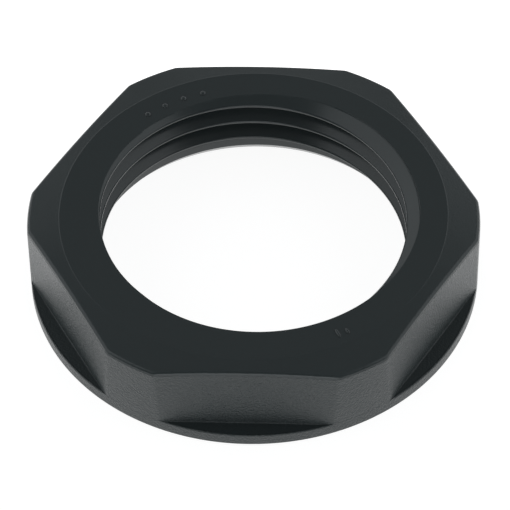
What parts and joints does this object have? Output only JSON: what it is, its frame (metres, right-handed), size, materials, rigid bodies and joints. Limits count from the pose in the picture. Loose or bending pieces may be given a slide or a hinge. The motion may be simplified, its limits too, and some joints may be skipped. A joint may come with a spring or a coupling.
{
  "type": "cable gland lock nut",
  "caption": "Flanged hexagon lock nut with an internal thread, which clamps a cable gland to an enclosure wall.",
  "frame": {"origin": "centre of the thread axis in the flange's seating face", "axes": "+Z along the thread axis, away from the wall that the flange seats on; one spanner flat faces -Y"},
  "size_m": [0.0356, 0.0356, 0.0071],
  "materials": {
    "black_polyamide": "black injection-moulded polyamide, smooth on the top ring and in the bore, fine spark-eroded grain on the flats and rim"
  },
  "bodies": {
    "root": {"lock_nut": "black_polyamide"}
  },
  "joints": []
}
